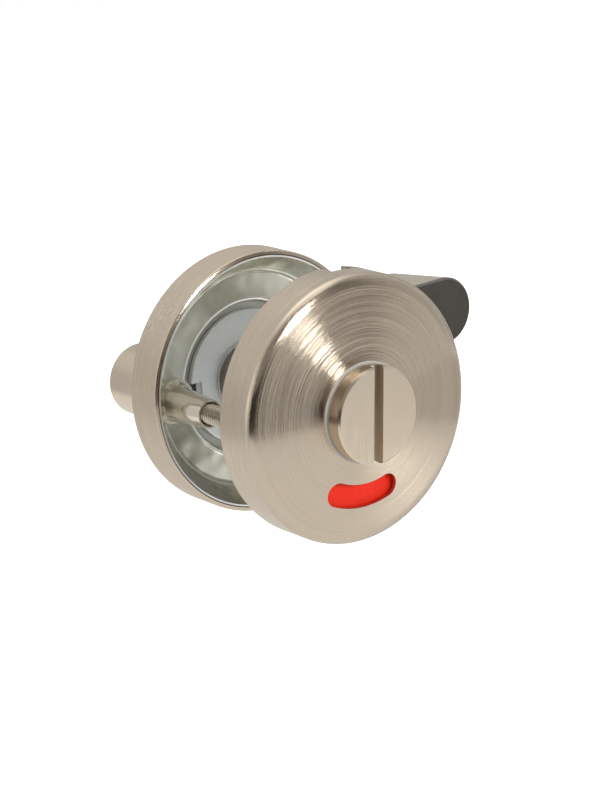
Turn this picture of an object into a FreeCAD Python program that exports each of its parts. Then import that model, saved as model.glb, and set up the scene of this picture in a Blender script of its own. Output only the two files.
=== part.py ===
import FreeCAD, Part
import math
import os
from types import SimpleNamespace

import Sketcher

# Privacy lock for a WC door: two round roses, a coin release knob outside and a bar turn inside.
# The origin is on the spindle's axis at the outer rose's door face. +Y points into the room, +Z up.

# Driving dimensions in millimetres and degrees.
dimensions = {
    # Pressed covers of both roses.
    "cover_radius": 26.5,
    "cover_wall": 0.8,
    "cover_height": 8.8,
    "cover_rise": 2.1,
    "cover_edge_round": 1.3,
    "cover_rim_round": 0.3,
    "door_gap": 21.2,
    # Window over the indicator disc.
    "window_radius": 16.7,
    "window_width": 4.8,
    "window_half_angle": 21.0,
    # Bayonet notches in the outer cover's rim, and the lugs that lock into them.
    "notch_width": 5.0,
    "notch_depth": 3.6,
    "leg_length": 3.4,
    "leg_width": 1.1,
    "leg_land": 1.6,
    "lug_clearance": 0.15,
    "lug_engagement": 0.4,
    # Cast base plates.
    "base_clearance": 0.2,
    "base_rim_width": 0.35,
    "base_rim_depth": 2.8,
    "base_lip": 0.7,
    "base_floor_inset": 3.6,
    "base_wall": 1.2,
    "outer_base_depth": 4.4,
    "inner_base_depth": 5.0,
    "hub_seat_radius": 15.5,
    "hub_seat_depth": 2.0,
    "base_floor_fillet": 1.6,
    "hub_edge_fillet": 0.9,
    # Posts of the inner base, and the screws that enter them.
    "post_pitch": 38.0,
    "fixing_angle": 7.0,
    "post_tip_radius": 2.85,
    "post_foot_radius": 3.75,
    "post_projection": 7.8,
    "post_pad_height": 0.8,
    "post_flare_height": 1.3,
    "post_mouth_radius": 2.5,
    "post_mouth_depth": 0.9,
    "post_hole_depth": 9.0,
    "screw_radius": 2.0,
    "screw_length": 25.0,
    "screw_head_radius": 3.8,
    "screw_clearance": 0.2,
    "thread_clearance": 0.05,
    "boss_height": 1.4,
    # Release knob.
    "knob_radius": 9.6,
    "knob_proud": 3.9,
    "knob_chamfer": 0.4,
    "slot_width": 2.2,
    "slot_depth": 1.5,
    # Shanks of the knob and of the turn, and what they run in.
    "shank_radius": 6.2,
    "shank_flat": 5.8,
    "running_clearance": 0.05,
    "key_clearance": 0.05,
    "collar_radius": 7.2,
    "collar_height": 1.4,
    "collar_round": 0.5,
    "shank_recess": 0.2,
    "bush_wall": 1.9,
    "bush_lip_width": 0.35,
    "bush_lip_height": 0.3,
    "bush_fit": 0.05,
    "washer_radius": 12.0,
    "washer_thickness": 0.4,
    "disc_radius": 13.9,
    "disc_thickness": 1.0,
    "disc_edge_round": 0.25,
    "disc_clearance": 0.4,
    "disc_notch_width": 3.5,
    "disc_notch_depth": 2.6,
    # Indicator disc.
    "indicator_radius": 20.6,
    "indicator_thickness": 0.8,
    "indicator_gap": 0.3,
    "indicator_hub_radius": 8.2,
    # Bar turn.
    "turn_angle": 5.8,
    "turn_half_width": 7.4,
    "turn_drop": 0.6,
    "turn_long_reach": 57.5,
    "turn_tip_slant": 5.0,
    "turn_short_reach": 13.4,
    "turn_standoff": 0.6,
    "turn_thickness": 14.0,
    "turn_chamfer": 0.5,
    "turn_round": 1.2,
    "neck_radius": 6.55,
    "mouth_radius": 5.2,
    "mouth_depth": 3.2,
    # Spindle and the grub screw that holds it.
    "spindle_width": 5.0,
    "spindle_fit": 0.05,
    "socket_play": 0.3,
    "knob_socket_floor": 1.5,
    "spindle_end_gap": 0.5,
    "turn_socket_floor": 3.0,
    "grub_radius": 2.0,
    "grub_inset": 0.3,
    "grub_key_width": 2.0,
    "grub_key_depth": 1.6,
}

doc = FreeCAD.newDocument("thumb_turn_lock")
sheet = doc.addObject("Spreadsheet::Sheet", "Sizes")
for row, (name, value) in enumerate(dimensions.items(), start=1):
    sheet.set(f"A{row}", name)
    sheet.set(f"B{row}", str(value))
    sheet.setAlias(f"B{row}", name)
doc.recompute()


class Size:
    # A length or angle: its value now, and the formula on the sheet that it follows.
    def __init__(self, value, formula):
        self.value = value
        self.formula = formula

    def join(self, other, sign, value):
        return Size(value, f"({self.formula} {sign} {other.formula})")

    def __add__(self, other):
        other = as_size(other)
        return self.join(other, "+", self.value + other.value)

    def __sub__(self, other):
        other = as_size(other)
        return self.join(other, "-", self.value - other.value)

    def __mul__(self, other):
        other = as_size(other)
        return self.join(other, "*", self.value * other.value)

    def __truediv__(self, other):
        other = as_size(other)
        return self.join(other, "/", self.value / other.value)

    def __neg__(self):
        return Size(-self.value, f"(0 - {self.formula})")


def as_size(number):
    return number if isinstance(number, Size) else Size(float(number), str(number))


def sine(angle):
    return Size(math.sin(math.radians(angle.value)), f"sin({angle.formula} * 1 deg)")


def cosine(angle):
    return Size(math.cos(math.radians(angle.value)), f"cos({angle.formula} * 1 deg)")


def chord_rise(radius, half_chord):
    # Height of a circle's point above its centre at a given distance from the middle line.
    height = math.sqrt(radius.value ** 2 - half_chord.value ** 2)
    return Size(height, f"sqrt({(radius * radius - half_chord * half_chord).formula})")


def smaller(first, second):
    return Size(min(first.value, second.value), f"min({first.formula}; {second.formula})")


mm = SimpleNamespace(**{name: Size(value, f"Sizes.{name}") for name, value in dimensions.items()})
zero = as_size(0)


# Building blocks.

def new_body(label):
    body = doc.addObject("PartDesign::Body", label)
    body.Label = label
    return body


def origin_item(body, role):
    return next(item for item in body.Origin.OriginFeatures if item.Role == role)


def new_sketch(body, name, role="XY_Plane", offset=zero):
    sketch = body.newObject("Sketcher::SketchObject", name)
    sketch.AttachmentSupport = [(origin_item(body, role), "")]
    sketch.MapMode = "FlatFace"
    sketch.setExpression("AttachmentOffset.Base.z", offset.formula)
    return sketch


def section_sketch(body, name, level):
    # Sketch across the spindle's axis at a given Y. Its axes are X and Z, and it faces -Y.
    return new_sketch(body, name, "XZ_Plane", -level)


def bind(sketch, kind, *where, size):
    index = sketch.addConstraint(Sketcher.Constraint(kind, *where, size.value))
    sketch.setExpression(f"Constraints[{index}]", size.formula)


def pin_point(sketch, edge, end, point):
    bind(sketch, "DistanceX", -1, 1, edge, end, size=point[0])
    bind(sketch, "DistanceY", -1, 1, edge, end, size=point[1])


def vector(point):
    return FreeCAD.Vector(point[0].value, point[1].value, 0)


def draw_polygon(sketch, points):
    points = [(as_size(x), as_size(y)) for x, y in points]
    first = sketch.GeometryCount
    count = len(points)
    for here, following in zip(points, points[1:] + points[:1]):
        sketch.addGeometry(Part.LineSegment(vector(here), vector(following)), False)
    for i, point in enumerate(points):
        following = first + (i + 1) % count
        sketch.addConstraint(Sketcher.Constraint("Coincident", first + i, 2, following, 1))
        pin_point(sketch, first + i, 1, point)


def draw_rectangle(sketch, left, right, low, high):
    draw_polygon(sketch, [(left, low), (right, low), (right, high), (left, high)])


def draw_circle(sketch, centre, radius):
    circle = Part.Circle(vector(centre), FreeCAD.Vector(0, 0, 1), radius.value)
    edge = sketch.addGeometry(circle, False)
    pin_point(sketch, edge, 3, centre)
    bind(sketch, "Radius", edge, size=radius)


def draw_arc(sketch, centre, radius, start, end):
    # Arc from start to end, counter-clockwise, in degrees.
    circle = Part.Circle(vector(centre), FreeCAD.Vector(0, 0, 1), radius.value)
    arc = Part.ArcOfCircle(circle, math.radians(start), math.radians(end))
    return sketch.addGeometry(arc, False)


def draw_stadium(sketch, left, right, half_width, middle):
    # Two straight sides and two half circles, centred on a line across the sketch at one height.
    high, deep = middle + half_width, middle - half_width
    far = draw_arc(sketch, (right, middle), half_width, -90, 90)
    near = draw_arc(sketch, (left, middle), half_width, 90, 270)
    top = sketch.addGeometry(Part.LineSegment(vector((right, high)), vector((left, high))), False)
    low = sketch.addGeometry(Part.LineSegment(vector((left, deep)), vector((right, deep))), False)
    for edge, centre in ((far, right), (near, left)):
        pin_point(sketch, edge, 3, (centre, middle))
        bind(sketch, "Radius", edge, size=half_width)
        sketch.addConstraint(Sketcher.Constraint("Vertical", edge, 3, edge, 1))
        sketch.addConstraint(Sketcher.Constraint("Vertical", edge, 3, edge, 2))
    for one, end, other, start in ((far, 2, top, 1), (top, 2, near, 1), (near, 2, low, 1), (low, 2, far, 1)):
        sketch.addConstraint(Sketcher.Constraint("Coincident", one, end, other, start))


def draw_curved_slot(sketch, radius, width, half_angle):
    # Slot round the axis with round ends, centred straight below it.
    inner = radius - width / 2
    outer = radius + width / 2
    turn = half_angle.value
    side, drop = sine(half_angle), -cosine(half_angle)
    right_end, left_end = (radius * side, radius * drop), (-(radius * side), radius * drop)
    outside = draw_arc(sketch, (zero, zero), outer, 270 - turn, 270 + turn)
    right = draw_arc(sketch, right_end, width / 2, turn - 90, turn + 90)
    inside = draw_arc(sketch, (zero, zero), inner, 270 - turn, 270 + turn)
    left = draw_arc(sketch, left_end, width / 2, 90 - turn, 270 - turn)
    for edge, size in ((outside, outer), (inside, inner)):
        sketch.addConstraint(Sketcher.Constraint("Coincident", edge, 3, -1, 1))
        bind(sketch, "Radius", edge, size=size)
    for one, end, other, start in ((outside, 2, right, 1), (right, 2, inside, 2),
                                   (inside, 1, left, 1), (left, 2, outside, 1)):
        sketch.addConstraint(Sketcher.Constraint("Tangent", one, end, other, start))
    bind(sketch, "DistanceX", -1, 1, right, 3, size=right_end[0])
    bind(sketch, "DistanceX", -1, 1, left, 3, size=left_end[0])


def draw_flatted_circle(sketch, radius, flat):
    # Circle with two flats, left and right of the centre.
    half = chord_rise(radius, flat)
    reach = math.degrees(math.atan2(half.value, flat.value))
    top = draw_arc(sketch, (zero, zero), radius, reach, 180 - reach)
    low = draw_arc(sketch, (zero, zero), radius, 180 + reach, 360 - reach)
    left = sketch.addGeometry(Part.LineSegment(vector((-flat, half)), vector((-flat, -half))), False)
    right = sketch.addGeometry(Part.LineSegment(vector((flat, -half)), vector((flat, half))), False)
    for one, end, other, start in ((top, 2, left, 1), (left, 2, low, 1), (low, 2, right, 1), (right, 2, top, 1)):
        sketch.addConstraint(Sketcher.Constraint("Coincident", one, end, other, start))
    for edge in (top, low):
        bind(sketch, "Radius", edge, size=radius)
    pin_point(sketch, left, 1, (-flat, half))
    pin_point(sketch, left, 2, (-flat, -half))
    pin_point(sketch, right, 1, (flat, -half))
    pin_point(sketch, right, 2, (flat, half))


def revolve(body, name, points):
    # Turned form about the spindle's axis, from a profile of radius and Y.
    sketch = new_sketch(body, name + "_profile")
    draw_polygon(sketch, points)
    feature = body.newObject("PartDesign::Revolution", name)
    feature.Profile = sketch
    feature.ReferenceAxis = (sketch, ["V_Axis"])
    feature.Angle = 360
    doc.recompute()
    return feature


def pad(body, name, sketch, length, inwards=True):
    # Grows from a section sketch towards +Y when inwards, and towards -Y when not.
    feature = body.newObject("PartDesign::Pad", name)
    feature.Profile = sketch
    feature.setExpression("Length", length.formula)
    feature.Reversed = inwards
    doc.recompute()
    return feature


def pocket(body, name, sketch, depth, forwards=False):
    # Cuts against the sketch's normal, or along it when forwards. It has to take something away.
    before = body.Shape.Volume
    feature = body.newObject("PartDesign::Pocket", name)
    feature.Profile = sketch
    feature.setExpression("Length", depth.formula)
    feature.Reversed = forwards
    doc.recompute()
    if body.Shape.Volume > before - 1e-6:
        raise RuntimeError(name + " cuts nothing")
    return feature


def primitive(body, kind, name, centre, level, **sizes):
    # Cylinder or cone parallel to the spindle, from a given Y towards -Y.
    feature = body.newObject("PartDesign::" + kind, name)
    feature.AttachmentSupport = [(origin_item(body, "XZ_Plane"), "")]
    feature.MapMode = "FlatFace"
    feature.setExpression("AttachmentOffset.Base.x", centre[0].formula)
    feature.setExpression("AttachmentOffset.Base.y", centre[1].formula)
    feature.setExpression("AttachmentOffset.Base.z", (-level).formula)
    for key, size in sizes.items():
        feature.setExpression(key, size.formula)
    doc.recompute()
    return feature


def ring_edges(body, radius, level):
    # Whole or part circles about the spindle's axis, of one radius, at one Y.
    names = []
    for index, edge in enumerate(body.Shape.Edges, start=1):
        curve = edge.Curve
        if not isinstance(curve, Part.Circle):
            continue
        centre = curve.Center
        on_axis = math.hypot(centre.x, centre.z) < 1e-6
        if on_axis and abs(curve.Radius - radius.value) < 1e-4 and abs(centre.y - level.value) < 1e-4:
            names.append(f"Edge{index}")
    return names


def level_edges(body, level):
    # Edges that lie wholly at one Y.
    names = []
    for index, edge in enumerate(body.Shape.Edges, start=1):
        box = edge.BoundBox
        if abs(box.YMin - level.value) < 1e-4 and abs(box.YMax - level.value) < 1e-4:
            names.append(f"Edge{index}")
    return names


def soften(body, kind, name, edges, size):
    # Fillet or chamfer on named edges of the body as it stands.
    base = body.Tip
    feature = body.newObject("PartDesign::" + kind, name)
    feature.Base = (base, edges)
    feature.setExpression("Radius" if kind == "Fillet" else "Size", size.formula)
    doc.recompute()
    return feature


def turned(body, angle):
    body.Placement = FreeCAD.Placement(FreeCAD.Vector(), FreeCAD.Rotation(FreeCAD.Vector(0, -1, 0), angle.value))


# Levels along the spindle, outside to inside.

cover_inside = mm.cover_radius - mm.cover_wall
cover_bore = mm.shank_radius + mm.running_clearance + mm.bush_wall
crown_radius = mm.knob_radius + mm.bush_lip_width
outer_front = -mm.cover_height
outer_crown = outer_front - mm.cover_rise
inner_front = mm.door_gap + mm.cover_height
inner_crown = inner_front + mm.cover_rise
base_rim = cover_inside - mm.base_clearance
outer_floor = -mm.outer_base_depth
inner_floor = mm.door_gap + mm.inner_base_depth
hub_seat = inner_floor + mm.hub_seat_depth
shank_bore = mm.shank_radius + mm.running_clearance
post_tip = mm.door_gap - mm.post_projection
# Bosses and post pads fill the ring between the retaining disc and the base's rim.
boss_radius = smaller(mm.post_pitch / 2 - mm.disc_radius - mm.disc_clearance, base_rim - mm.post_pitch / 2)
fixings = []
for side in (1, -1):
    arm = mm.post_pitch / 2 * side
    fixings.append((arm * cosine(mm.fixing_angle), arm * sine(mm.fixing_angle)))


# Covers.

def pressed_cover(label, rim, outwards):
    # Cup with a straight wall, a round edge and a shallow cone that rises to the crown.
    front = rim + mm.cover_height * outwards
    crown = front + mm.cover_rise * outwards
    skin = mm.cover_wall * outwards
    body = new_body(label)
    revolve(body, label + "_cup", [
        (mm.cover_radius, rim), (mm.cover_radius, front), (crown_radius, crown), (cover_bore, crown),
        (cover_bore, crown - skin), (crown_radius, crown - skin), (cover_inside, front - skin), (cover_inside, rim)])
    soften(body, "Fillet", label + "_edge", ring_edges(body, mm.cover_radius, front), mm.cover_edge_round)
    soften(body, "Fillet", label + "_rim", ring_edges(body, mm.cover_radius, rim), mm.cover_rim_round)
    return body


outer_cover = pressed_cover("outer_cover", zero, -1)
window_sketch = section_sketch(outer_cover, "window_outline", outer_crown)
draw_curved_slot(window_sketch, mm.window_radius, mm.window_width, mm.window_half_angle)
pocket(outer_cover, "window", window_sketch, mm.cover_rise + mm.cover_wall * 2)

# Each bayonet notch opens at the rim and has a leg to one side, where a lug of the base locks.
notch_edge = mm.notch_width / 2
leg_end = notch_edge + mm.leg_length
leg_low, leg_high = -mm.leg_land - mm.leg_width, -mm.leg_land
notch_sketch = new_sketch(outer_cover, "notch_outline")
rim_excess = mm.cover_wall
draw_polygon(notch_sketch, [
    (-notch_edge, rim_excess), (-notch_edge, -mm.notch_depth), (notch_edge, -mm.notch_depth), (notch_edge, leg_low),
    (leg_end, leg_low), (leg_end, leg_high), (notch_edge, leg_high), (notch_edge, rim_excess)])
notch = pocket(outer_cover, "notch", notch_sketch, mm.cover_radius + mm.cover_wall, forwards=True)


def three_round_the_axis(body, name, feature):
    ring = body.newObject("PartDesign::PolarPattern", name)
    ring.Originals = [feature]
    ring.Axis = (origin_item(body, "Y_Axis"), [""])
    ring.Angle = 360
    ring.Occurrences = 3
    body.Tip = ring
    doc.recompute()


three_round_the_axis(outer_cover, "notches", notch)

inner_cover = pressed_cover("inner_cover", mm.door_gap, 1)


# Bases.

rim_inside = base_rim - mm.base_rim_width
floor_radius = base_rim - mm.base_floor_inset
floor_outside = floor_radius + mm.base_wall

outer_base = new_body("outer_base")
outer_back = outer_floor - mm.base_wall
revolve(outer_base, "outer_dish", [
    (base_rim, zero), (base_rim, -mm.base_rim_depth), (floor_outside, outer_back), (shank_bore, outer_back),
    (shank_bore, outer_floor), (floor_radius, outer_floor), (rim_inside, -mm.base_lip), (rim_inside, zero)])
soften(outer_base, "Fillet", "outer_dish_corner",
       ring_edges(outer_base, floor_radius, outer_floor), mm.base_floor_fillet)

# Lugs stand in the legs of the cover's notches.
lug_foot = chord_rise(base_rim, leg_end) - mm.base_rim_width / 2
lug_top = chord_rise(cover_inside, leg_end) + mm.lug_engagement
lug_sketch = new_sketch(outer_base, "lug_outline", offset=lug_foot)
draw_rectangle(lug_sketch, notch_edge + mm.lug_clearance, leg_end - mm.lug_clearance,
               leg_low + mm.lug_clearance, leg_high - mm.lug_clearance)
lug = pad(outer_base, "lug", lug_sketch, lug_top - lug_foot, inwards=False)
three_round_the_axis(outer_base, "lugs", lug)

# Screw bosses, drilled and countersunk.
hole_radius = mm.screw_radius + mm.screw_clearance
sink_radius = mm.screw_head_radius + mm.thread_clearance
head_height = mm.screw_head_radius - mm.screw_radius
for number, centre in enumerate(fixings, start=1):
    boss_face = outer_floor + mm.boss_height
    primitive(outer_base, "AdditiveCylinder", f"boss_{number}", centre, boss_face,
              Radius=boss_radius, Height=mm.boss_height + mm.base_wall)
    primitive(outer_base, "SubtractiveCylinder", f"screw_hole_{number}", centre, boss_face + mm.base_wall,
              Radius=hole_radius, Height=mm.boss_height + mm.base_wall * 3)
    primitive(outer_base, "SubtractiveCone", f"countersink_{number}", centre, outer_back + head_height,
              Radius1=mm.screw_radius + mm.thread_clearance, Radius2=sink_radius, Height=head_height)

inner_base = new_body("inner_base")
seat_back = hub_seat + mm.base_wall
floor_back = inner_floor + mm.base_wall
seat_outside = mm.hub_seat_radius + mm.base_wall
revolve(inner_base, "inner_dish", [
    (base_rim, mm.door_gap), (base_rim, mm.door_gap + mm.base_rim_depth), (floor_outside, floor_back),
    (seat_outside, floor_back), (seat_outside, seat_back), (shank_bore, seat_back), (shank_bore, hub_seat),
    (mm.hub_seat_radius, hub_seat), (mm.hub_seat_radius, inner_floor), (floor_radius, inner_floor),
    (rim_inside, mm.door_gap + mm.base_lip), (rim_inside, mm.door_gap)])
soften(inner_base, "Fillet", "inner_dish_corner",
       ring_edges(inner_base, floor_radius, inner_floor), mm.base_floor_fillet)
soften(inner_base, "Fillet", "hub_seat_edge",
       ring_edges(inner_base, mm.hub_seat_radius, inner_floor), mm.hub_edge_fillet)

# Each post stands on a round pad, flares at its foot and has a countersunk mouth.
pad_top = inner_floor - mm.post_pad_height
tapped_radius = mm.screw_radius + mm.thread_clearance
for number, centre in enumerate(fixings, start=1):
    primitive(inner_base, "AdditiveCylinder", f"post_pad_{number}", centre, hub_seat,
              Radius=boss_radius, Height=hub_seat - pad_top)
    primitive(inner_base, "AdditiveCone", f"post_flare_{number}", centre, pad_top,
              Radius1=boss_radius - mm.post_pad_height / 2, Radius2=mm.post_foot_radius,
              Height=mm.post_flare_height)
    primitive(inner_base, "AdditiveCone", f"post_{number}", centre, inner_floor,
              Radius1=mm.post_foot_radius + mm.thread_clearance, Radius2=mm.post_tip_radius,
              Height=inner_floor - post_tip)
for number, centre in enumerate(fixings, start=1):
    primitive(inner_base, "SubtractiveCylinder", f"post_hole_{number}", centre, post_tip + mm.post_hole_depth,
              Radius=tapped_radius, Height=mm.post_hole_depth)
    primitive(inner_base, "SubtractiveCone", f"post_mouth_{number}", centre, post_tip + mm.post_mouth_depth,
              Radius1=tapped_radius, Radius2=mm.post_mouth_radius, Height=mm.post_mouth_depth)


# Screws: two countersunk screws as one group.

screws = []
for number, centre in enumerate(fixings, start=1):
    head = doc.addObject("Part::Cone", f"screw_head_{number}")
    head.setExpression("Radius1", mm.screw_head_radius.formula)
    head.setExpression("Radius2", mm.screw_radius.formula)
    head.setExpression("Height", head_height.formula)
    stem = doc.addObject("Part::Cylinder", f"screw_stem_{number}")
    stem.setExpression("Radius", mm.screw_radius.formula)
    stem.setExpression("Height", mm.screw_length.formula)
    for piece in (head, stem):
        piece.Placement.Rotation = FreeCAD.Rotation(FreeCAD.Vector(1, 0, 0), -90)
        piece.setExpression("Placement.Base.x", centre[0].formula)
        piece.setExpression("Placement.Base.y", outer_back.formula)
        piece.setExpression("Placement.Base.z", centre[1].formula)
    screw = doc.addObject("Part::Fuse", f"screw_{number}")
    screw.Base = head
    screw.Tool = stem
    screws.append(screw)
fixing_screws = doc.addObject("Part::Compound", "fixing_screws")
fixing_screws.Label = "fixing_screws"
fixing_screws.Links = screws
doc.recompute()


# Bushes, washers and retaining discs.

def flanged_bush(label, crown, outwards):
    # Nylon bush: a thin lip on the cover's crown and a sleeve through the cover.
    sleeve = cover_bore - mm.bush_fit
    lip = crown + mm.bush_lip_height * outwards
    end = crown - mm.cover_wall * outwards
    body = new_body(label)
    revolve(body, label + "_form", [
        (crown_radius, crown), (crown_radius, lip), (shank_bore, lip), (shank_bore, end), (sleeve, end),
        (sleeve, crown)])
    return body


knob_bush = flanged_bush("knob_bush", outer_crown, -1)
turn_bush = flanged_bush("turn_bush", inner_crown, 1)


def keyed_hole(body, name, low, high):
    # Hole that fits a shank's flats, from one Y up to another.
    outline = section_sketch(body, name + "_outline", low)
    draw_flatted_circle(outline, mm.shank_radius + mm.key_clearance, mm.shank_flat + mm.key_clearance)
    pocket(body, name, outline, high - low)


def plain_disc(label, low, high, radius):
    body = new_body(label)
    outline = section_sketch(body, label + "_outline", low)
    draw_circle(outline, (zero, zero), radius)
    pad(body, label + "_plate", outline, high - low)
    return body


def retaining_disc(label, low, high, collar_end, door_face):
    # Plated steel disc with a square notch in its edge and a drawn collar that is pressed on the shank.
    body = plain_disc(label, low, high, mm.disc_radius)
    notch_outline = section_sketch(body, label + "_notch_outline", low)
    draw_rectangle(notch_outline, -(mm.disc_radius + mm.disc_thickness), -(mm.disc_radius - mm.disc_notch_depth),
                   -(mm.disc_notch_width / 2), mm.disc_notch_width / 2)
    pocket(body, label + "_notch", notch_outline, high - low)
    soften(body, "Fillet", label + "_edge", ring_edges(body, mm.disc_radius, door_face), mm.disc_edge_round)
    collar_outline = section_sketch(body, label + "_collar_outline", door_face)
    draw_circle(collar_outline, (zero, zero), mm.collar_radius)
    pad(body, label + "_collar", collar_outline, mm.collar_height, inwards=collar_end.value > door_face.value)
    soften(body, "Fillet", label + "_collar_edge", ring_edges(body, mm.collar_radius, collar_end), mm.collar_round)
    return body


knob_disc_low = outer_floor + mm.washer_thickness
knob_disc_high = knob_disc_low + mm.disc_thickness
knob_collar_end = knob_disc_high + mm.collar_height
knob_washer = plain_disc("knob_washer", outer_floor, knob_disc_low, mm.washer_radius)
keyed_hole(knob_washer, "knob_washer_hole", outer_floor, knob_disc_low)
knob_retaining_disc = retaining_disc("knob_retaining_disc", knob_disc_low, knob_disc_high, knob_collar_end,
                                     knob_disc_high)
keyed_hole(knob_retaining_disc, "knob_retaining_disc_hole", knob_disc_low, knob_collar_end)

turn_disc_high = hub_seat - mm.washer_thickness
turn_disc_low = turn_disc_high - mm.disc_thickness
turn_collar_end = turn_disc_low - mm.collar_height
turn_washer = plain_disc("turn_washer", turn_disc_high, hub_seat, mm.washer_radius)
keyed_hole(turn_washer, "turn_washer_hole", turn_disc_high, hub_seat)
turn_retaining_disc = retaining_disc("turn_retaining_disc", turn_disc_low, turn_disc_high, turn_collar_end,
                                     turn_disc_low)
keyed_hole(turn_retaining_disc, "turn_retaining_disc_hole", turn_collar_end, turn_disc_high)
for body in (turn_washer, turn_retaining_disc):
    turned(body, mm.turn_angle)


# Release knob: head and flatted shank.

knob_face = outer_crown - mm.knob_proud
knob_back = outer_crown - mm.bush_lip_height - mm.running_clearance
knob_end = knob_collar_end - mm.shank_recess
release_knob = new_body("release_knob")
revolve(release_knob, "knob_form", [
    (zero, knob_face), (mm.knob_radius, knob_face), (mm.knob_radius, knob_back), (mm.shank_radius, knob_back),
    (mm.shank_radius, knob_end), (zero, knob_end)])
soften(release_knob, "Chamfer", "knob_edge", ring_edges(release_knob, mm.knob_radius, knob_face), mm.knob_chamfer)


def cut_flats(body, name, start, length, forwards):
    # Two flats along a shank.
    sketch = section_sketch(body, name + "_outline", start)
    outside = mm.shank_radius + mm.shank_flat
    draw_rectangle(sketch, mm.shank_flat, outside, -outside, outside)
    draw_rectangle(sketch, -outside, -mm.shank_flat, -outside, outside)
    return pocket(body, name, sketch, length, forwards=forwards)


bush_end = outer_crown + mm.cover_wall
cut_flats(release_knob, "knob_flats", knob_end, knob_end - bush_end, forwards=True)
slot_sketch = section_sketch(release_knob, "slot_outline", knob_face)
slot_reach = mm.knob_radius + mm.slot_width
draw_rectangle(slot_sketch, -(mm.slot_width / 2), mm.slot_width / 2, -slot_reach, slot_reach)
pocket(release_knob, "coin_slot", slot_sketch, mm.slot_depth)
knob_socket_end = knob_face + mm.slot_depth + mm.knob_socket_floor
knob_socket = section_sketch(release_knob, "knob_socket_outline", knob_end)
knob_socket_half = mm.spindle_width / 2 + mm.socket_play
draw_rectangle(knob_socket, -knob_socket_half, knob_socket_half, -knob_socket_half, knob_socket_half)
pocket(release_knob, "knob_socket", knob_socket, knob_end - knob_socket_end, forwards=True)


# Indicator disc: a thin plate close behind the window, on a hub between the bush and the base.

plate_edge = (cover_inside - mm.indicator_radius) / (cover_inside - crown_radius)
plate_front = outer_front + mm.cover_wall - mm.cover_rise * plate_edge + mm.indicator_gap
hub_front = bush_end + mm.running_clearance
hub_back = outer_back - mm.running_clearance
indicator_disc = plain_disc("indicator_disc", plate_front, plate_front + mm.indicator_thickness, mm.indicator_radius)
hub_outline = section_sketch(indicator_disc, "hub_outline", hub_front)
draw_circle(hub_outline, (zero, zero), mm.indicator_hub_radius)
pad(indicator_disc, "hub", hub_outline, hub_back - hub_front)
keyed_hole(indicator_disc, "hub_hole", hub_front, hub_back)


# Bar turn: neck and shank, and a bar with round ends whose long end slants in towards the user.

turn_back = inner_crown + mm.turn_standoff
turn_low = mm.turn_half_width + mm.turn_drop
turn_face = turn_back + mm.turn_thickness
neck_foot = inner_crown + mm.bush_lip_height + mm.running_clearance
turn_end = turn_collar_end + mm.shank_recess
neck_top = turn_back + mm.turn_thickness / 2
mouth_end = turn_end + mm.mouth_depth
thumb_turn = new_body("thumb_turn")
revolve(thumb_turn, "shank_form", [
    (zero, neck_top), (mm.neck_radius, neck_top), (mm.neck_radius, neck_foot), (mm.shank_radius, neck_foot),
    (mm.shank_radius, turn_end), (mm.mouth_radius, turn_end), (mm.mouth_radius, mouth_end), (zero, mouth_end)])


def bar_outline(name, level, inset, slant):
    # Outline of the bar at one Y, drawn in all round by the inset and at its long end also by the slant.
    sketch = section_sketch(thumb_turn, name, level)
    draw_stadium(sketch, -mm.turn_short_reach, mm.turn_long_reach - slant, mm.turn_half_width - inset,
                 -mm.turn_drop)
    return sketch


bar = thumb_turn.newObject("PartDesign::AdditiveLoft", "bar")
bar.Profile = bar_outline("bar_back_outline", turn_back, mm.turn_chamfer, zero)
bar.Sections = [bar_outline("bar_side_outline", turn_back + mm.turn_chamfer, zero, zero),
                bar_outline("bar_face_outline", turn_face, zero, mm.turn_tip_slant)]
bar.Ruled = True
doc.recompute()
soften(thumb_turn, "Fillet", "bar_face_edge", level_edges(thumb_turn, turn_face), mm.turn_round)
turn_bush_end = inner_crown - mm.cover_wall
cut_flats(thumb_turn, "turn_flats", turn_end, turn_bush_end - turn_end, forwards=False)
turn_socket_end = turn_face - mm.turn_socket_floor
turn_socket = section_sketch(thumb_turn, "turn_socket_outline", mouth_end)
turn_socket_half = mm.spindle_width / 2 + mm.spindle_fit
draw_rectangle(turn_socket, -turn_socket_half, turn_socket_half, -turn_socket_half, turn_socket_half)
pocket(thumb_turn, "turn_socket", turn_socket, turn_socket_end - mouth_end)

# Tapped hole for the grub screw, from the bar's lower side to the spindle.
grub_level = turn_back + mm.turn_thickness / 2
grub_outline = new_sketch(thumb_turn, "grub_hole_outline", offset=-(turn_low + mm.grub_radius))
draw_circle(grub_outline, (zero, grub_level), mm.grub_radius + mm.thread_clearance)
pocket(thumb_turn, "grub_hole", grub_outline, turn_low + mm.grub_radius - mm.spindle_width / 4,
       forwards=True)
turned(thumb_turn, mm.turn_angle)

grub_screw = new_body("grub_screw")
grub_foot = turn_low - mm.grub_inset
grub_length = grub_foot - mm.spindle_width / 2 - mm.spindle_fit
grub_sketch = new_sketch(grub_screw, "grub_outline", offset=-grub_foot)
draw_circle(grub_sketch, (zero, grub_level), mm.grub_radius)
pad(grub_screw, "grub_stem", grub_sketch, grub_length, inwards=False)
key_sketch = new_sketch(grub_screw, "grub_key_outline", offset=-grub_foot)
key_half = mm.grub_key_width / 2
draw_polygon(key_sketch, [
    (key_half * cosine(as_size(60 * corner)), grub_level + key_half * sine(as_size(60 * corner)))
    for corner in range(6)])
pocket(grub_screw, "grub_key", key_sketch, mm.grub_key_depth, forwards=True)
turned(grub_screw, mm.turn_angle)


# Spindle: square bar, fast in the turn and loose in the knob.

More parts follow.
